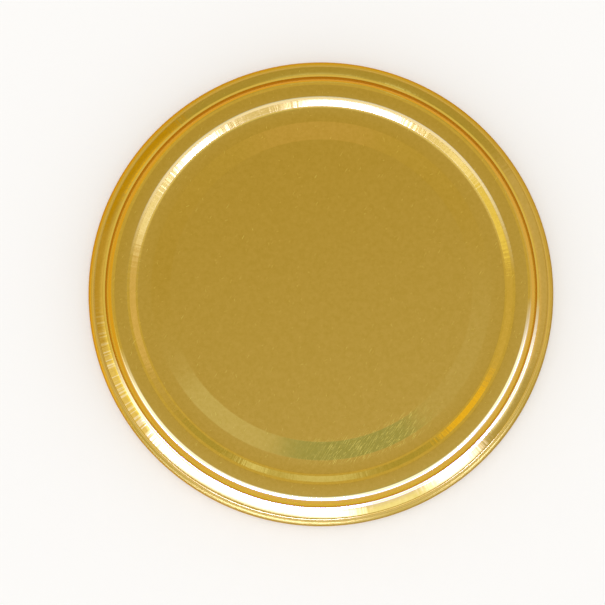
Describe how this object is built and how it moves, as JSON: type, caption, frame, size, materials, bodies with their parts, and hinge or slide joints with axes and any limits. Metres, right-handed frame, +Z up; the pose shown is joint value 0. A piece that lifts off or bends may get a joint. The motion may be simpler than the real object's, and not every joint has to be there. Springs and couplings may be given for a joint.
{
  "type": "twist off jar lid",
  "caption": "Gold lacquered metal lid with a stepped round panel, sloping shoulder, rolled rim with inward lugs, and a sealing ring inside, for a wide mouth glass jar.",
  "frame": {"origin": "centre of the plane that the rolled rim rests on, on the lid's axis", "axes": "+Z up along the lid's axis, from the open side to the panel; +X towards the middle of one lug; +Y completes the right-handed set"},
  "size_m": [0.085, 0.085, 0.01],
  "materials": {
    "gold_lacquered_tinplate": "glossy transparent gold lacquer over bright tinned steel, finely scratched",
    "sealing_plastisol": "smooth cream coloured plastisol, slightly satin"
  },
  "bodies": {
    "root": {"lid_shell": "gold_lacquered_tinplate", "sealing_gasket": "sealing_plastisol"}
  },
  "joints": []
}
